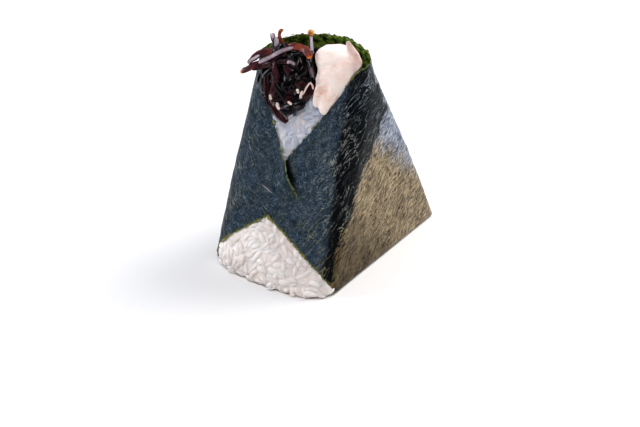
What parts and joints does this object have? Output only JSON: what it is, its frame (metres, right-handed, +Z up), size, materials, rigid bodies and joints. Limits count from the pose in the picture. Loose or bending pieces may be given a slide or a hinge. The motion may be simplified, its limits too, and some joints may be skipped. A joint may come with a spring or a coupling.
{
  "type": "onigiri rice ball",
  "caption": "Triangular rice ball standing on its base, wrapped crosswise in a half sheet of nori, its open neck filled with simmered kelp strips and a chunk of salmon",
  "frame": {"origin": "under the middle of the whole part's box, at the level it rests on", "axes": "+Z up, -Y towards the open neck and the crossed flaps, +X and -X towards the two big triangular faces; Y is the longest extent and X the shortest"},
  "size_m": [0.0604, 0.1012, 0.0971],
  "materials": {
    "nori": "dark green black dried seaweed sheet with a dull sheen",
    "rice": "moist white cooked rice",
    "kelp": "glossy wet dark brown kelp",
    "salmon": "moist pale pink cooked fish"
  },
  "bodies": {
    "root": {"nori_sheet": "nori", "rice_ball": "rice", "kelp_strips": "kelp", "salmon_chunk": "salmon"}
  },
  "joints": []
}
